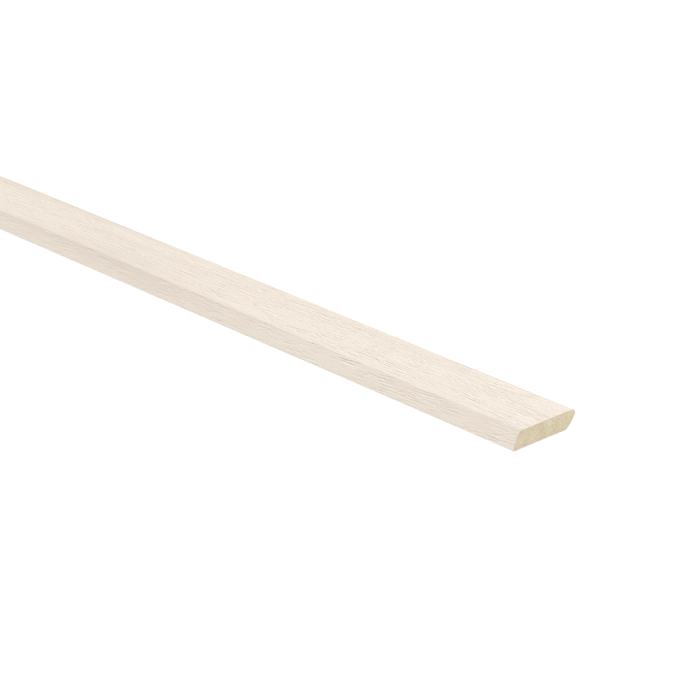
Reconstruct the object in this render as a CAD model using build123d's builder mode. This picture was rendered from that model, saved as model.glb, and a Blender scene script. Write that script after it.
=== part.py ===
from build123d import *
import os

# Adhesive skirting strip: a thin MDF moulding wrapped in printed oak foil, cut square at
# both ends, with a self-adhesive back. It lies on its back, as it is stored.
# X runs along the strip, Y across it from the shoulder edge to the undercut edge, and Z
# up out of the front. The origin is under the middle of the back. Sizes are in millimetres.

# Overall sizes, foil and adhesive included
strip_length = 2400.0
strip_width = 22.0
strip_thickness = 5.0

# Shoulder edge: from a small rounded foot it leans in, slightly bowed, up to the front
foot_radius = 0.3
foot_turn = 15.0  # degrees past upright at which the foot runs into the bowed edge
shoulder_inset = 2.1  # from the foot in to the corner of the front, before it is rounded
shoulder_radius = 0.5

# Undercut edge: from a rounded nose below the front it bows in, down to the back
nose_radius = 1.1
nose_turn = 24.0  # degrees past upright at which the nose runs into the undercut
undercut_depth = 3.4  # from the nose in to the corner of the back, before it is rounded
heel_radius = 0.6

# Foil wrapped over the front and both edges, and turned onto the back along each edge
foil_thickness = 0.2
foil_turn_in = 1.6

# Adhesive back: mounting tape under a peel-off liner, between the foil's turned edges
tape_thickness = 0.14
liner_thickness = 0.06
tape_clearance = 0.5  # bare core left on each side of the tape

# The core's back stands up by the foil, or by the tape with its liner if that is more
core_back = max(foil_thickness, tape_thickness + liner_thickness)
wrap_back = core_back - foil_thickness

half_length = strip_length / 2
near_side = -strip_width / 2
far_side = strip_width / 2

# The bare middle of the back, and the tape centred on it
bare_near = near_side + foil_turn_in
bare_far = far_side - undercut_depth - foil_turn_in
bare_width = bare_far - bare_near
bare_middle = (bare_near + bare_far) / 2
tape_width = bare_width - 2 * tape_clearance
tape_bottom = core_back - tape_thickness
liner_bottom = tape_bottom - liner_thickness

# Outline of the wrapped section, looking along the strip with the front at the top. Foot
# and nose are arcs that touch the overall width, so the width stays exact, and each runs
# tangentially into the bowed edge beside it.
with BuildSketch(Plane.YZ) as wrapped_section:
    with BuildLine():
        foot = CenterArc(
            (near_side + foot_radius, wrap_back + foot_radius),
            foot_radius,
            start_angle=270,
            arc_size=-90 - foot_turn,
        )
        shoulder_corner = (near_side + shoulder_inset, strip_thickness)
        shoulder_edge = TangentArc(foot @ 1, shoulder_corner, tangent=foot % 1)
        nose = CenterArc(
            (far_side - nose_radius, strip_thickness - nose_radius),
            nose_radius,
            start_angle=90,
            arc_size=-90 - nose_turn,
        )
        front = Line(shoulder_edge @ 1, nose @ 0)
        heel_corner = (far_side - undercut_depth, wrap_back)
        undercut_edge = TangentArc(nose @ 1, heel_corner, tangent=nose % 1)
        back = Line(undercut_edge @ 1, foot @ 0)
    make_face()
    fillet(vertices().sort_by_distance(shoulder_corner)[0], radius=shoulder_radius)
    fillet(vertices().sort_by_distance(heel_corner)[0], radius=heel_radius)

# Core: the wrapped section less the foil's thickness all round, moulded in one length
with BuildPart() as mdf_core:
    with BuildSketch(Plane.YZ) as core_section:
        add(wrapped_section.sketch_local)
        offset(amount=-foil_thickness)
    extrude(amount=half_length, both=True)

# Foil: one sheet that hugs the core and stops short on the back, where the core is bare
with BuildPart() as decor_foil:
    with BuildSketch(Plane.YZ):
        add(wrapped_section.sketch_local)
        add(core_section.sketch_local, mode=Mode.SUBTRACT)
        with Locations((bare_middle, wrap_back)):
            Rectangle(
                bare_width,
                foil_thickness,
                align=(Align.CENTER, Align.MIN),
                mode=Mode.SUBTRACT,
            )
    extrude(amount=half_length, both=True)

# Mounting tape stuck along the bare back of the core
with BuildPart() as adhesive_tape:
    with BuildSketch(Plane.YZ):
        with Locations((bare_middle, tape_bottom)):
            Rectangle(tape_width, tape_thickness, align=(Align.CENTER, Align.MIN))
    extrude(amount=half_length, both=True)

# Liner over the tape's outer side, as wide as the tape
with BuildPart() as release_liner:
    with BuildSketch(Plane.YZ):
        with Locations((bare_middle, liner_bottom)):
            Rectangle(tape_width, liner_thickness, align=(Align.CENTER, Align.MIN))
    extrude(amount=half_length, both=True)

mdf_core.part.label = "mdf_core"
decor_foil.part.label = "decor_foil"
adhesive_tape.part.label = "adhesive_tape"
release_liner.part.label = "release_liner"

os.makedirs("parts", exist_ok=True)
export_step(mdf_core.part, "parts/mdf_core.step")
export_step(decor_foil.part, "parts/decor_foil.step")
export_step(adhesive_tape.part, "parts/adhesive_tape.step")
export_step(release_liner.part, "parts/release_liner.step")
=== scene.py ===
import math

import bmesh
import bpy
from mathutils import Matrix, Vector, noise


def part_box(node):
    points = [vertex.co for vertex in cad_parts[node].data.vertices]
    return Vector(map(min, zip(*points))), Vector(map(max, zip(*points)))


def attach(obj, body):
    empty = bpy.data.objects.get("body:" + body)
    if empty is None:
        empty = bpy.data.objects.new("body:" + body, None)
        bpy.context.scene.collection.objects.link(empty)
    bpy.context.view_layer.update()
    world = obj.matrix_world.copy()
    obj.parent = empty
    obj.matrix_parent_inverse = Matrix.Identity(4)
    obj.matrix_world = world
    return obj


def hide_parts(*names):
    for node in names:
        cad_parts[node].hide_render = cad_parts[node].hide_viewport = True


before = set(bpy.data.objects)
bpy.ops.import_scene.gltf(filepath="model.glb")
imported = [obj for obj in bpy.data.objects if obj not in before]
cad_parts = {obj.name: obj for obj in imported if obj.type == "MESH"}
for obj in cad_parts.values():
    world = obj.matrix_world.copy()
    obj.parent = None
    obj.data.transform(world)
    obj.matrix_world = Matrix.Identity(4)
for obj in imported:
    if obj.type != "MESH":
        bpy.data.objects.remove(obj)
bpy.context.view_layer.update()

# Adhesive skirting strip, lying on its back: an MDF core wrapped in oak foil, with mounting
# tape and a liner on the back. X runs along it, Y across it, Z up out of its front, in metres.

MM = 0.001

# Overall sizes, from the frame
foil_low, foil_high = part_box("decor_foil")
core_low, core_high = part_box("mdf_core")
strip_length = foil_high.x - foil_low.x
foil_thickness = foil_high.y - core_high.y

# Shoulder edge: a rounded foot, a bowed side and a small rounding into the front
foot_radius = 0.3 * MM
foot_turn = 4.0  # degrees past upright
shoulder_inset = 2.2 * MM
shoulder_radius = 0.35 * MM

# Undercut edge: a rounded nose, a bowed side and a rounded heel
nose_radius = 1.1 * MM
nose_turn = 24.0  # degrees past upright
undercut_depth = 3.4 * MM
heel_radius = 0.6 * MM

# The back, bare between the foil's two turned edges
foil_turn_in = 1.6 * MM
bare_near = foil_low.y + foil_turn_in
bare_far = foil_high.y - undercut_depth - foil_turn_in

# Straight steps that the section's arcs are drawn in
foot_steps = 8
bow_steps = 8
nose_steps = 18
corner_steps = 6

# The length is folded into this many rows where a piece is laid out flat for its bake
fold_rows = 8
row_length = strip_length / fold_rows
row_margin = 0.002


# Section of the strip

def at(y, z):
    """A place in the section, at the far end of the strip."""
    return Vector((foil_low.x, y, z))


def run_to(bm, tip, place):
    """Draws a straight line from the tip, and returns the new tip."""
    drawn = bmesh.ops.extrude_vert_indiv(bm, verts=[tip])["verts"][0]
    drawn.co = place
    return drawn


def turn(bm, tip, centre, degrees, steps):
    """Draws an arc from the tip about a centre, and returns the new tip."""
    arc = bmesh.ops.spin(
        bm,
        geom=[tip],
        cent=centre,
        axis=(1.0, 0.0, 0.0),
        angle=math.radians(degrees),
        steps=steps,
        use_duplicate=False,
    )
    return arc["geom_last"][0]


def bow_to(bm, tip, lean, place):
    """Draws the arc that leaves the tip at a lean from upright, in degrees, and ends at a place."""
    heading = Vector((0.0, math.sin(math.radians(lean)), math.cos(math.radians(lean))))
    side = Vector((0.0, -heading.z, heading.y))
    chord = place - tip.co
    radius = chord.length_squared / (2 * chord.dot(side))
    swing = 2 * math.asin(chord.dot(side) / chord.length)
    return turn(bm, tip, tip.co + side * radius, math.degrees(swing), bow_steps)


def round_corner(bm, corner, radius):
    """Rounds a corner of the outline."""
    before, after = [edge.other_vert(corner).co - corner.co for edge in corner.link_edges]
    bmesh.ops.bevel(
        bm,
        geom=[corner],
        offset=radius / math.tan(before.angle(after) / 2),
        offset_type="OFFSET",
        affect="VERTICES",
        segments=corner_steps,
        profile=0.5,
        material=-1,
    )


def wrapped_section():
    """The section at the far end: the core's face, with the foil's faces in a ring round it."""
    bm = bmesh.new()
    across = bm.verts.layers.float.new("across")
    skin = bm.verts.layers.float.new("skin")
    top = foil_high.z
    foot = at(foil_low.y + foot_radius, foot_radius)
    nose = at(foil_high.y - nose_radius, top - nose_radius)
    start = bmesh.ops.create_vert(bm, co=at(bare_near, 0))["vert"][0]
    tip = run_to(bm, start, at(foot.y, 0))
    tip = turn(bm, tip, foot, -90 - foot_turn, foot_steps)
    shoulder = bow_to(bm, tip, foot_turn, at(foil_low.y + shoulder_inset, top))
    tip = run_to(bm, shoulder, at(nose.y, top))
    tip = turn(bm, tip, nose, -90 - nose_turn, nose_steps)
    heel = bow_to(bm, tip, 180 + nose_turn, at(foil_high.y - undercut_depth, 0))
    tip = run_to(bm, heel, at(bare_far, 0))
    bmesh.ops.contextual_create(bm, geom=[tip, start])
    bmesh.ops.edgeloop_fill(bm, edges=bm.edges[:])
    round_corner(bm, shoulder, shoulder_radius)
    round_corner(bm, heel, heel_radius)
    outline = bm.faces[:][0]
    outline.normal_update()
    if outline.normal.x > 0:
        outline.normal_flip()

    # How far across the flat foil each point lies, from its near free edge
    loops = outline.loops[:]
    first = [loop.vert for loop in loops].index(start)
    reach = 0.0
    for loop in loops[first:] + loops[:first]:
        loop.vert[across] = reach
        reach += loop.edge.calc_length()
    bmesh.ops.inset_region(
        bm,
        faces=[outline],
        thickness=foil_thickness,
        use_boundary=True,
        use_even_offset=True,
    )

    # 1 on the foil's inner side, which is the core's outline, and 0 on its outer side
    for vert in outline.verts:
        vert[skin] = 1.0
    return bm, outline


def drawn_out(bm, unwanted):
    """Draws what is left of the section out to the strip's length, cut where its rows fold."""
    bmesh.ops.delete(bm, geom=unwanted, context="FACES")
    pulled = bmesh.ops.extrude_face_region(bm, geom=bm.faces[:])["geom"]
    near_end = [part for part in pulled if isinstance(part, bmesh.types.BMVert)]
    bmesh.ops.translate(bm, verts=near_end, vec=(strip_length, 0.0, 0.0))
    for row in range(1, fold_rows):
        bmesh.ops.bisect_plane(
            bm,
            geom=bm.verts[:] + bm.edges[:] + bm.faces[:],
            plane_co=(foil_low.x + row * row_length, 0.0, 0.0),
            plane_no=(1.0, 0.0, 0.0),
        )
    bmesh.ops.recalc_face_normals(bm, faces=bm.faces[:])


def closes_an_end(face):
    """Whether a face is on one of the two sawn ends."""
    return abs(face.normal.x) > 0.5


def widths_across(face, across):
    """How far across the flat sheet each corner of a face lies, and how much of it that spans."""
    widths = [loop.vert[across] for loop in face.loops]
    return widths, max(widths) - min(widths)


# Laying pieces out flat

def spread(fraction, low, high):
    """A share of the way from low to high."""
    return low + fraction * (high - low)


def lay_in_rows(face, layer, band, widths):
    """Lays a face of the long sides in its row of a band; widths run from 0 to 1 across it."""
    way = (face.calc_center_median().x - foil_low.x) / row_length
    row = min(int(way), fold_rows - 1)
    pitch = (band[1] - band[0]) / fold_rows
    floor = band[0] + row * pitch
    for loop, width in zip(face.loops, widths):
        along = (loop.vert.co.x - foil_low.x) / row_length - row
        loop[layer].uv = (
            spread(along, row_margin, 1 - row_margin),
            floor + width * (pitch - row_margin),
        )


# Pieces

def finished(name, bm, node, materials):
    """Makes the object of a piece that stands for a CAD node."""
    crease = math.radians(30)
    mesh = bpy.data.meshes.new(name)
    bm.to_mesh(mesh)
    bm.free()
    mesh.shade_smooth()
    mesh.set_sharp_from_angle(angle=crease)
    for material in materials:
        mesh.materials.append(material)
    piece = bpy.data.objects.new(name, mesh)
    bpy.context.scene.collection.objects.link(piece)
    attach(piece, "root")
    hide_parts(node)


def wrapped_foil(printed, raw):
    """One sheet of foil over the front and both edges, turned a little way onto the back."""
    bm, core_face = wrapped_section()
    across = bm.verts.layers.float["across"]
    skin = bm.verts.layers.float["skin"]
    sheet_width = max(vert[across] for vert in bm.verts)

    # The ring's face over the bare back joins the sheet's two free edges, and isn't foil
    ring = [face for face in bm.faces if face != core_face]
    bare = [face for face in ring if widths_across(face, across)[1] == sheet_width]
    drawn_out(bm, [core_face] + bare)

    # Bands of the flat map
    print_band = (row_margin, 0.92)
    underside_band = (0.925, 0.95)
    far_edge_band = (0.955, 0.964)
    near_edge_band = (0.965, 0.974)
    near_end_band = (0.975, 0.985)
    far_end_band = (0.988, 0.998)

    sheet = bm.loops.layers.uv.new("sheet_mm")
    flat = bm.loops.layers.uv.new("OFBake")
    for face in bm.faces:
        skins = [loop.vert[skin] for loop in face.loops]
        widths, span = widths_across(face, across)
        shares = [width / sheet_width for width in widths]
        is_print = not any(skins)
        face.material_index = 0 if is_print else 1
        for loop, width in zip(face.loops, widths):
            loop[sheet].uv = (loop.vert.co.x / MM, width / MM)
        if closes_an_end(face):
            band = near_end_band if face.normal.x > 0 else far_end_band
            for loop, share, depth in zip(face.loops, shares, skins):
                loop[flat].uv = (spread(share, row_margin, 1 - row_margin), spread(depth, *band))
        elif span == 0:
            band = near_edge_band if face.normal.y > 0 else far_edge_band
            lay_in_rows(face, flat, band, skins)
        else:
            lay_in_rows(face, flat, print_band if is_print else underside_band, shares)
    finished("wrapped_foil", bm, "decor_foil", [printed, raw])


def sawn_core(board):
    """The MDF core, with the fine relief that the saw leaves on both ends."""
    bm, core_face = wrapped_section()
    drawn_out(bm, [face for face in bm.faces if face != core_face])

    across = bm.verts.layers.float["across"]
    wrapped_width = max(vert[across] for vert in bm.verts)
    for end in [face for face in bm.faces if closes_an_end(face)]:
        roughen(bm, end)

    # Bands of the flat map. In the sides' rows the wrapped outline takes a share of the way
    # round, and the bare back the rest. The ends keep their proportions.
    sides_band = (row_margin, 0.42)
    wrapped_share = 0.8
    near_end_floor = 0.44
    far_end_floor = 0.68
    end_margin = 0.02
    core_width = core_high.y - core_low.y
    flat = bm.loops.layers.uv.new("OFBake")
    for face in bm.faces:
        if closes_an_end(face):
            floor = near_end_floor if face.normal.x > 0 else far_end_floor
            for loop in face.loops:
                y = (loop.vert.co.y - core_low.y) / core_width
                z = (loop.vert.co.z - core_low.z) / core_width
                loop[flat].uv = (
                    spread(y, end_margin, 1 - end_margin),
                    floor + z * (1 - 2 * end_margin),
                )
        else:
            widths, span = widths_across(face, across)
            ways_round = [wrapped_share * width / wrapped_width for width in widths]

            # Only the bare back's faces reach from one end of the outline to the other
            if span > 0.9 * wrapped_width:
                ways_round = [1.0 if way < wrapped_share / 2 else way for way in ways_round]
            lay_in_rows(face, flat, sides_band, ways_round)
    finished("sawn_core", bm, "mdf_core", [board])


def roughen(bm, end):
    """Gives a sawn end its relief: torn bundles of fibre and clumps, all cut inwards."""
    sign = 1 if end.normal.x > 0 else -1
    edge_left = 0.06 * MM
    pitch = 0.2 * MM
    tolerance = pitch / 1000
    relief = 0.05 * MM
    bmesh.ops.inset_region(bm, faces=[end], thickness=edge_left, use_even_offset=True)
    region = [end] + end.edges[:] + end.verts[:]
    for axis in (1, 2):
        low, high = core_low[axis], core_high[axis]
        normal = Vector((0.0, 0.0, 0.0))
        normal[axis] = 1.0
        for step in range(1, int((high - low) / pitch)):
            cut = bmesh.ops.bisect_plane(
                bm,
                geom=region,
                dist=tolerance,
                plane_co=normal * (low + step * pitch),
                plane_no=normal,
            )
            region = cut["geom"]
    for vert in [part for part in region if isinstance(part, bmesh.types.BMVert)]:
        if vert.is_boundary or not all(closes_an_end(face) for face in vert.link_faces):
            continue

        # Bundles 0.3 mm wide that lean over, and clumps of a millimetre, other ones at each end
        y, z = vert.co.y / MM, vert.co.z / MM
        bundles = noise.noise(Vector((y / 0.3 + z / 0.6, z / 1.4 - y / 3, sign * 9.0)))
        clumps = noise.noise(Vector((y / 1.1, z / 0.8, sign * 4.0)))
        vert.co.x -= sign * relief * (0.5 + 0.3 * bundles + 0.2 * clumps)


# Materials

def linear(colour):
    """An sRGB hex colour as linear red, green, blue and alpha."""
    parts = [int(colour[start:start + 2], 16) / 255 for start in (1, 3, 5)]
    return [c / 12.92 if c <= 0.04045 else ((c + 0.055) / 1.055) ** 2.4 for c in parts] + [1.0]


def add(tree, kind, inputs=(), **settings):
    """Adds a node with its settings, and sets or links its inputs, by name or in their order.

    An input that is given as a node takes that node's first output.
    """
    node = tree.nodes.new(kind)
    for name, value in settings.items():
        setattr(node, name, value)
    sockets = inputs if isinstance(inputs, dict) else dict(enumerate(inputs))
    for socket, value in sockets.items():
        if isinstance(value, bpy.types.Node):
            value = value.outputs[0]
        if isinstance(value, bpy.types.NodeSocket):
            tree.links.new(value, node.inputs[socket])
        else:
            node.inputs[socket].default_value = value
    return node


def new_material(name):
    """An empty node material, with its tree and its output."""
    material = bpy.data.materials.new(name)
    material.use_nodes = True
    tree = material.node_tree
    tree.nodes.clear()
    return material, tree, add(tree, "ShaderNodeOutputMaterial")


def set_stops(colours, stops):
    """Puts a colour ramp's stops at their places, from the lowest up."""
    ramp = colours.color_ramp.elements
    ramp[0].position, ramp[0].color = stops[0][0], linear(stops[0][1])
    ramp[1].position, ramp[1].color = stops[-1][0], linear(stops[-1][1])
    for position, colour in stops[1:-1]:
        ramp.new(position).color = linear(colour)


def whitewashed_oak_foil():
    """Decor paper printed as whitewashed oak, embossed with its pores and lacquered matt.

    To the eye: a warm near-white ground, full of fine short strokes that run with the length,
    some a little darker and some paler, livelier in some places and calm in others. All its
    patterns are laid out in millimetres on the flat sheet.
    """
    material, tree, output = new_material("whitewashed_oak_foil")
    sheet = add(tree, "ShaderNodeUVMap", uv_map="sheet_mm")

    def fibres(vector, length, width, start, detail=0.0):
        """Soft streaks of a length and width, round a half; the start sets which ones."""
        laid = add(
            tree,
            "ShaderNodeMapping",
            {"Vector": vector, "Scale": (length, width, 1.0), "Location": (start, start, 0.0)},
            vector_type="TEXTURE",
        )
        return add(
            tree,
            "ShaderNodeTexNoise",
            {"Vector": laid, "Scale": 1.0, "Detail": detail},
            noise_dimensions="2D",
        )

    def strokes(vector, length, width, start, share):
        """Separate strokes of a length and width, in a share of their cells."""
        full, gone = 0.12, 0.46  # how far from its middle a stroke starts and ends to fade
        laid = add(
            tree,
            "ShaderNodeMapping",
            {"Vector": vector, "Scale": (length, width, 1.0), "Location": (start, start, 0.0)},
            vector_type="TEXTURE",
        )
        cells = add(
            tree,
            "ShaderNodeTexVoronoi",
            {"Vector": laid, "Scale": 1.0},
            voronoi_dimensions="2D",
            feature="F1",
        )
        body = add(
            tree,
            "ShaderNodeMapRange",
            (cells.outputs["Distance"], full, gone, 1.0, 0.0),
            interpolation_type="SMOOTHSTEP",
        )
        draw = add(tree, "ShaderNodeSeparateColor", (cells.outputs["Color"],))
        strength = add(tree, "ShaderNodeMapRange", (draw, share, share * 0.4, 0.0, 1.0))
        return add(tree, "ShaderNodeMath", (body, strength), operation="MULTIPLY")

    # The grain drifts up to 0.9 mm to each side over a long way and 0.15 mm over a short one
    drift = 0.0
    for wander, most in ((fibres(sheet, 90, 16, 0), 0.9), (fibres(sheet, 13, 4, 7), 0.15)):
        centred = add(tree, "ShaderNodeMath", (wander, 0.5), operation="SUBTRACT")
        drift = add(tree, "ShaderNodeMath", (centred, 2 * most, drift), operation="MULTIPLY_ADD")
    aside = add(tree, "ShaderNodeCombineXYZ", {"Y": drift})
    grain = add(tree, "ShaderNodeVectorMath", (sheet, aside), operation="ADD")

    # How the ground's tone and the marks' contrast change across the sheet: painted light at the
    # foot, painted shade below the shoulder's turn and on the nose, and calmer marks on the side
    # and on the nose. Where each change starts and ends, in millimetres from the near free edge,
    # and what it goes from and to
    across = add(tree, "ShaderNodeSeparateXYZ", (sheet,)).outputs["Y"]
    changes = {
        name: add(tree, "ShaderNodeMapRange", (across, *change), interpolation_type="SMOOTHSTEP")
        for name, change in (
            ("painted light on the foot", (2.0, 4.5, 1.0, 0.0)),
            ("painted shade up the edge", (4.5, 7.0, 0.0, 1.0)),
            ("off the shoulder", (6.5, 10.0, 0.43, 1.0)),
            ("painted shade ends past the turn", (7.2, 8.2, 0.0, 1.0)),
            ("on the nose", (21.5, 26.0, 0.0, 1.0)),
        )
    }

    # Lively and calm places, and long livelier and calmer stretches, calm on both long edges
    lively = add(
        tree,
        "ShaderNodeMapRange",
        (fibres(grain, 15, 4.2, 3, 1.0), 0.36, 0.60, 0.63, 1.43),
        interpolation_type="SMOOTHSTEP",
    )
    stretches = fibres(sheet, 170, 90, -392)
    livelier = add(tree, "ShaderNodeMapRange", (stretches, 0.25, 0.65, 0.66, 1.03))
    off_nose = add(
        tree, "ShaderNodeMath", (changes["on the nose"], -0.25, 1.0), operation="MULTIPLY_ADD"
    )
    contrast = lively
    for calm in (livelier, changes["off the shoulder"], off_nose):
        contrast = add(tree, "ShaderNodeMath", (contrast, calm), operation="MULTIPLY")

    # Pore strokes of three lengths and the fibre between them, which lean a little off the
    # strip's length. Each has a paler edge beside it, so the marks are fine and sharp and the
    # ground keeps an even tone. Real oak's pores are 0.1 to 0.3 mm wide and its fibre is finer
    # still, too fine to show here, so they are drawn 0.24 to 0.45 mm wide.
    grain_lean = math.radians(-3.5)
    pale_edge = (0.0, 0.32, 0.0)
    leaning = add(
        tree,
        "ShaderNodeMapping",
        {"Vector": grain, "Rotation": (0.0, 0.0, grain_lean)},
        vector_type="POINT",
    )
    beside = add(tree, "ShaderNodeVectorMath", (leaning, pale_edge), operation="ADD")
    marks = 0.0
    for place, sign in ((leaning, -1.0), (beside, 1.0)):
        for layer, weight in (
            (strokes(place, 2.2, 0.36, 31, 0.5), 0.28),
            (strokes(place, 5.5, 0.42, 57, 0.45), 0.28),
            (strokes(place, 13.0, 0.45, 83, 0.40), 0.30),
            (fibres(place, 9.0, 0.30, 11), 0.35),
            (fibres(place, 1.6, 0.24, 17), 0.30),
        ):
            marks = add(
                tree, "ShaderNodeMath", (layer, sign * weight, marks), operation="MULTIPLY_ADD"
            )

    # The ground under the marks: bands along the grain and pale stretches. Across the sheet it has
    # painted light and shade: painted light makes it a little paler at the foot, and painted shade
    # makes it darker up to the turn of the shoulder and on the nose.
    tone = add(tree, "ShaderNodeMath", (marks, contrast, 0.5), operation="MULTIPLY_ADD")
    bands = add(tree, "ShaderNodeMath", (fibres(grain, 90, 6, 5, 1.0), 0.5), operation="SUBTRACT")
    pale = add(tree, "ShaderNodeMath", (stretches, 0.5), operation="SUBTRACT")
    for layer, weight in (
        (bands, 0.16),
        (pale, 0.08),
        # Painted light: a little paler at the foot
        (changes["painted light on the foot"], 0.055),
        # Painted shade: darker up the side, and lifted again just past the shoulder's turn
        (changes["painted shade up the edge"], -0.055),
        (changes["painted shade ends past the turn"], 0.055),
        # Painted shade: a little darker on the nose
        (changes["on the nose"], -0.05),
    ):
        tone = add(tree, "ShaderNodeMath", (layer, weight, tone), operation="MULTIPLY_ADD")
    colours = add(tree, "ShaderNodeValToRGB", (tone,))
    set_stops(colours, ((0.1, "#CDC0B2"), (0.5, "#F3E8DC"), (0.78, "#FFF9F0")))

    # Broad, faint turns of hue in the print
    hue = add(
        tree,
        "ShaderNodeMapRange",
        (fibres(sheet, 9, 4, 21, 1.0), 0.3, 0.7, 0.0, 1.0),
        interpolation_type="SMOOTHSTEP",
    )
    tint = add(
        tree,
        "ShaderNodeMix",
        {0: hue, 6: linear("#FFFCFB"), 7: linear("#FFFFFD")},
        data_type="RGBA",
    )
    colour = add(
        tree,
        "ShaderNodeMix",
        {0: 1.0, 6: colours, 7: tint.outputs[2]},
        data_type="RGBA",
        blend_type="MULTIPLY",
    )

    # The emboss follows the print, and its pores are a little less glossy than the lacquer
    emboss_depth = 0.03 * MM
    sunk = add(tree, "ShaderNodeMath", (tone, 0.3), operation="MAXIMUM")
    bump = add(tree, "ShaderNodeBump", {"Height": sunk, "Distance": emboss_depth, "Strength": 1.0})
    roughness = add(tree, "ShaderNodeMapRange", (tone, 0.3, 0.6, 0.62, 0.5))
    shader = add(
        tree,
        "ShaderNodeBsdfPrincipled",
        {
            "Base Color": colour.outputs[2],
            "Roughness": roughness,
            "Normal": bump,
            "IOR": 1.45,
            "Specular IOR Level": 0.3,
        },
    )
    tree.links.new(shader.outputs[0], output.inputs["Surface"])
    return material


def raw_foil():
    """The foil's unprinted underside and its cut edge: plain decor paper, dulled by the glue.

    To the eye: a flat pale buff, faintly mottled by clumps of paper fibre half a millimetre
    across.
    """
    material, tree, output = new_material("raw_foil")
    place = add(tree, "ShaderNodeTexCoord").outputs["Object"]
    specks = add(
        tree, "ShaderNodeTexNoise", {"Vector": place, "Scale": 1 / (0.5 * MM), "Detail": 2.0}
    )
    colours = add(tree, "ShaderNodeValToRGB", (specks,))
    set_stops(colours, ((0.35, "#D3C5B0"), (0.65, "#EADFCD")))
    shader = add(tree, "ShaderNodeBsdfPrincipled", {"Base Color": colours, "Roughness": 0.75})
    tree.links.new(shader.outputs[0], output.inputs["Surface"])
    return material


def sawn_mdf():
    """Medium-density fibreboard, cut by a fine saw.

    To the eye: a dull straw colour that turns a little to olive and to pink, with short torn
    bundles of fibre that lean over in pale and dark streaks, and a few dark specks of bark.
    Its fibres are under 0.05 mm thick, too fine to show here, so the torn bundles and the felt
    between them are drawn 0.2 mm and more across.
    """
    material, tree, output = new_material("sawn_mdf")
    place = add(tree, "ShaderNodeTexCoord").outputs["Object"]

    def bundles(lean, length, width):
        """Torn bundles of fibre that lean over in the section; degrees and millimetres."""
        laid = add(
            tree,
            "ShaderNodeMapping",
            {
                "Vector": place,
                "Rotation": (math.radians(-lean), 0.0, 0.0),
                "Scale": (2.0 * MM, length * MM, width * MM),
            },
            vector_type="TEXTURE",
        )
        return add(tree, "ShaderNodeTexNoise", {"Vector": laid, "Scale": 1.0, "Detail": 1.5})

    # Bundles that lean over more in some clumps than in others
    clumps = add(
        tree, "ShaderNodeTexNoise", {"Vector": place, "Scale": 1 / (3.2 * MM), "Detail": 1.0}
    )
    steeply = add(tree, "ShaderNodeMapRange", (clumps, 0.42, 0.56, 0.0, 1.0))
    torn = add(
        tree, "ShaderNodeMix", {0: steeply, 2: bundles(34, 1.3, 0.24), 3: bundles(60, 1.6, 0.24)}
    )
    felt = add(
        tree,
        "ShaderNodeTexNoise",
        {"Vector": place, "Scale": 1 / (0.2 * MM), "Detail": 2.0, "Roughness": 0.6},
    )
    tone = 0.5
    for layer, weight in ((torn, 0.85), (felt, 0.5), (clumps, 0.3)):
        centred = add(tree, "ShaderNodeMath", (layer, 0.5), operation="SUBTRACT")
        tone = add(tree, "ShaderNodeMath", (centred, weight, tone), operation="MULTIPLY_ADD")

    # Specks of bark, in a quarter of cells 1.3 mm across
    cells = add(tree, "ShaderNodeTexVoronoi", {"Vector": place, "Scale": 1 / (1.3 * MM)})
    speck = add(tree, "ShaderNodeMapRange", (cells.outputs["Distance"], 0.05, 0.14, 0.35, 0.0))
    draw = add(tree, "ShaderNodeSeparateColor", (cells.outputs["Color"],))
    rare = add(tree, "ShaderNodeMath", (draw, 0.25), operation="LESS_THAN")
    bark = add(tree, "ShaderNodeMath", (speck, rare), operation="MULTIPLY")
    tone = add(tree, "ShaderNodeMath", (tone, bark), operation="SUBTRACT")
    colours = add(tree, "ShaderNodeValToRGB", (tone,))
    set_stops(
        colours, ((0.0, "#A88D66"), (0.28, "#D0BE9F"), (0.5, "#E4D6BB"), (0.72, "#F2E7CE"))
    )

    # Broad turns of hue
    hue = add(
        tree, "ShaderNodeTexNoise", {"Vector": place, "Scale": 1 / (4.0 * MM), "Detail": 1.0}
    )
    turn_of_hue = add(tree, "ShaderNodeMapRange", (hue, 0.35, 0.65, 0.0, 1.0))
    tint = add(
        tree,
        "ShaderNodeMix",
        {0: turn_of_hue, 6: linear("#FFFBFA"), 7: linear("#FCFFFA")},
        data_type="RGBA",
    )
    colour = add(
        tree,
        "ShaderNodeMix",
        {0: 1.0, 6: colours, 7: tint.outputs[2]},
        data_type="RGBA",
        blend_type="MULTIPLY",
    )
    bump = add(tree, "ShaderNodeBump", {"Height": tone, "Distance": 0.04 * MM, "Strength": 1.0})
    shader = add(
        tree,
        "ShaderNodeBsdfPrincipled",
        {
            "Base Color": colour.outputs[2],
            "Roughness": 0.85,
            "Normal": bump,
            "Specular IOR Level": 0.15,
        },
    )
    tree.links.new(shader.outputs[0], output.inputs["Surface"])
    return material


def acrylic_tape():
    """Double-sided mounting tape: milky acrylic adhesive on a thin tissue.

    To the eye: an off-white film with a soft sheen, clouded every millimetre or two.
    """
    material, tree, output = new_material("acrylic_tape")
    place = add(tree, "ShaderNodeTexCoord").outputs["Object"]
    milk = add(
        tree, "ShaderNodeTexNoise", {"Vector": place, "Scale": 1 / (1.5 * MM), "Detail": 3.0}
    )
    colours = add(tree, "ShaderNodeValToRGB", (milk,))
    set_stops(colours, ((0.3, "#DDDCD4"), (0.7, "#F2F1EB")))
    bump = add(tree, "ShaderNodeBump", {"Height": milk, "Distance": 0.02 * MM})
    shader = add(
        tree,
        "ShaderNodeBsdfPrincipled",
        {"Base Color": colours, "Roughness": 0.35, "Normal": bump},
    )
    tree.links.new(shader.outputs[0], output.inputs["Surface"])
    return material


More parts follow.
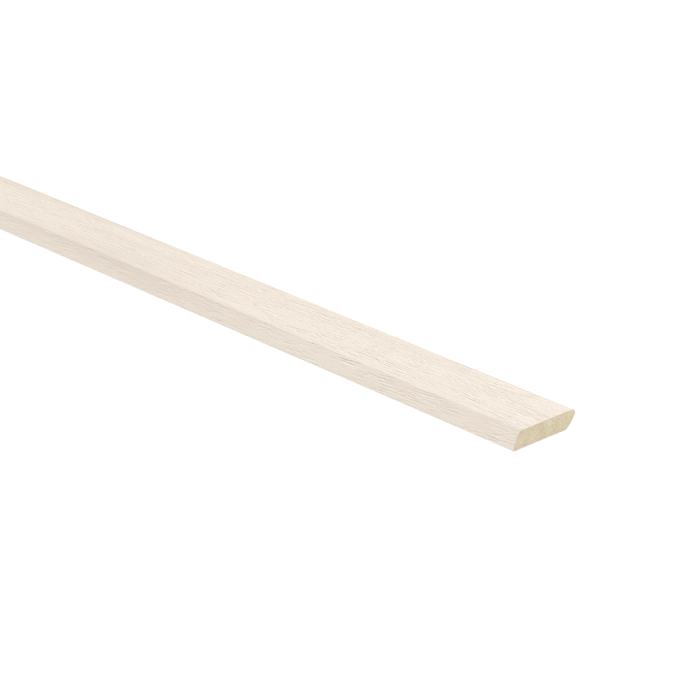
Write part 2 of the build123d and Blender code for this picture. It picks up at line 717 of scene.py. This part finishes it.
def siliconed_paper():
    """Glassine release paper with a silicone coat.

    To the eye: smooth, slightly shiny and faintly cloudy, in clouds about 3 mm across.
    """
    material, tree, output = new_material("siliconed_paper")
    place = add(tree, "ShaderNodeTexCoord").outputs["Object"]
    cloudy = add(
        tree,
        "ShaderNodeTexNoise",
        {"Vector": place, "Scale": 1 / (3.0 * MM), "Detail": 4.0, "Roughness": 0.65},
    )
    colours = add(tree, "ShaderNodeValToRGB", (cloudy,))
    set_stops(colours, ((0.3, "#E4E2D9"), (0.7, "#F4F3EE")))
    bump = add(tree, "ShaderNodeBump", {"Height": cloudy, "Distance": 0.03 * MM})
    shader = add(
        tree,
        "ShaderNodeBsdfPrincipled",
        {"Base Color": colours, "Roughness": 0.32, "Normal": bump},
    )
    tree.links.new(shader.outputs[0], output.inputs["Surface"])
    return material


# Floor, light and camera

def seen_directly(tree):
    """1 where the camera sees a thing itself, or in gloss or through glass, and 0 elsewhere."""
    path = add(tree, "ShaderNodeLightPath")
    gloss = add(
        tree,
        "ShaderNodeMath",
        (path.outputs["Is Camera Ray"], path.outputs["Is Glossy Ray"]),
        operation="MAXIMUM",
    )
    return add(
        tree, "ShaderNodeMath", (gloss, path.outputs["Is Transmission Ray"]), operation="MAXIMUM"
    )


def pale_floor():
    """A white studio floor, which shows as white and keeps the strip's soft shadow."""
    floor_size = 16.0
    shadow_share = 0.32  # how much of what the camera sees is the paint, with the shadow on it
    whitening = 1.15  # brings paint and glow together up to white
    material, tree, output = new_material("studio_white")
    share = add(
        tree, "ShaderNodeMath", (seen_directly(tree), 1 - shadow_share), operation="MULTIPLY"
    )
    paint = add(
        tree,
        "ShaderNodeBsdfPrincipled",
        {"Base Color": linear("#F2F2F2"), "Roughness": 0.9, "Specular IOR Level": 0.0},
    )
    glow = add(tree, "ShaderNodeEmission", {"Strength": whitening})
    both = add(tree, "ShaderNodeMixShader", (share, paint, glow))
    tree.links.new(both.outputs[0], output.inputs["Surface"])
    bm = bmesh.new()
    bmesh.ops.create_grid(bm, x_segments=1, y_segments=1, size=floor_size / 2)
    mesh = bpy.data.meshes.new("studio_floor")
    bm.to_mesh(mesh)
    bm.free()
    mesh.materials.append(material)
    floor = bpy.data.objects.new("studio_floor", mesh)
    bpy.context.scene.collection.objects.link(floor)


def soft_light():
    """An even white surround, and softboxes behind the strip: a long one and a small end one."""
    surround = 0.915
    white = linear("#FFFFFF")
    world = bpy.data.worlds.new("studio")
    world.use_nodes = True
    tree = world.node_tree
    tree.nodes.clear()
    lighting = add(tree, "ShaderNodeBackground", {"Color": white, "Strength": surround})
    backdrop = add(tree, "ShaderNodeBackground", {"Color": white, "Strength": 1.0})
    both = add(tree, "ShaderNodeMixShader", (seen_directly(tree), lighting, backdrop))
    add(tree, "ShaderNodeOutputWorld", {"Surface": both})
    bpy.context.scene.world = world

    # Each softbox's place, its two sides and its power, tilted to face the strip
    for name, place, sides, power in (
        ("long_softbox", Vector((0.0, 0.72, 0.56)), (3.4, 0.4), 1.78),
        ("end_softbox", Vector((foil_high.x + 0.02, 0.235, 0.183)), (0.25, 0.25), 0.10),
    ):
        data = bpy.data.lights.new(name, "AREA")
        data.shape = "RECTANGLE"
        data.size, data.size_y = sides
        data.energy = power
        lamp = bpy.data.objects.new(name, data)
        lamp.location = place
        lamp.rotation_euler = (-math.atan2(place.y, place.z), 0.0, 0.0)
        bpy.context.scene.collection.objects.link(lamp)


def camera():
    """The photograph's view, onto the near end from its shoulder side."""
    aim = Vector((foil_high.x - 70.2 * MM, -0.9 * MM, foil_high.z / 2))
    azimuth = math.radians(47.35)
    elevation = math.radians(22.79)
    distance = 661.9 * MM
    back = Vector(
        (
            math.sin(azimuth) * math.cos(elevation),
            -math.cos(azimuth) * math.cos(elevation),
            math.sin(elevation),
        )
    )
    data = bpy.data.cameras.new("camera")
    data.sensor_width = 36.0
    data.lens = 127.65
    data.clip_start = 0.01
    data.clip_end = 50.0
    view = bpy.data.objects.new("camera", data)
    view.location = aim + back * distance
    view.rotation_euler = (-back).to_track_quat("-Z", "Y").to_euler()
    bpy.context.scene.collection.objects.link(view)
    bpy.context.scene.camera = view


def dress(node, material):
    """Gives a CAD node its finish."""
    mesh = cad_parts[node].data
    mesh.materials.clear()
    mesh.materials.append(material)


camera()
pale_floor()
soft_light()
wrapped_foil(whitewashed_oak_foil(), raw_foil())
sawn_core(sawn_mdf())
dress("adhesive_tape", acrylic_tape())
dress("release_liner", siliconed_paper())
bpy.context.scene.view_settings.view_transform = "Standard"
